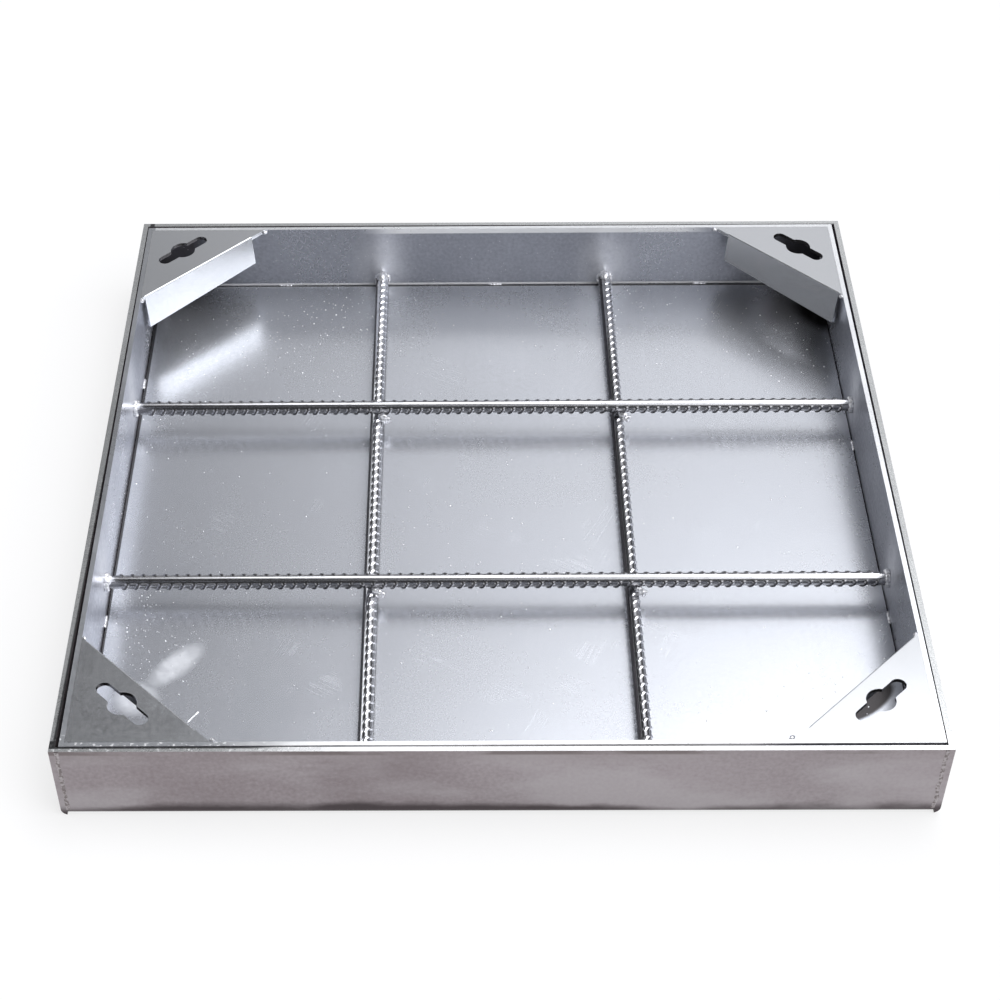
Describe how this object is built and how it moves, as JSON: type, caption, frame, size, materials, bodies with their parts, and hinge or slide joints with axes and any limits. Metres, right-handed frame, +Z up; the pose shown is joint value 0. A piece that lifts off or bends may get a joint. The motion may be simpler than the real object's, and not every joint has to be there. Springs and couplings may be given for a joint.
{
  "type": "recessed paving cover",
  "caption": "Square recessed access cover: welded steel frame with a loose tray for paving, ribbed tie bars and keyhole lifting corners.",
  "frame": {"origin": "middle of the frame's underside", "axes": "+Z up, +X to the right along the front, front face towards -Y"},
  "size_m": [0.6, 0.6012, 0.066],
  "materials": {
    "frame_steel": "dull mill finish with grinding marks",
    "wall_steel": "satin",
    "floor_steel": "satin, lightly scratched, with weld spatter",
    "corner_steel": "satin",
    "bar_steel": "bright, ribbed",
    "weld_metal": "rough weld bead"
  },
  "bodies": {
    "root": {"frame_front": "frame_steel", "frame_back": "frame_steel", "frame_left": "frame_steel", "frame_right": "frame_steel", "frame_corner_welds": "weld_metal", "tray_floor": "floor_steel", "tray_wall_front": "wall_steel", "tray_wall_back": "wall_steel", "tray_wall_left": "wall_steel", "tray_wall_right": "wall_steel", "tray_corner_welds": "weld_metal", "floor_tack_welds": "weld_metal", "lifting_corner_front_left": "corner_steel", "lifting_corner_front_right": "corner_steel", "lifting_corner_back_left": "corner_steel", "lifting_corner_back_right": "corner_steel", "lifting_corner_welds": "weld_metal", "ribbed_bar_front": "bar_steel", "ribbed_bar_back": "bar_steel", "ribbed_bar_left": "bar_steel", "ribbed_bar_right": "bar_steel", "bar_end_welds": "weld_metal", "bar_crossing_welds": "weld_metal"}
  },
  "joints": []
}
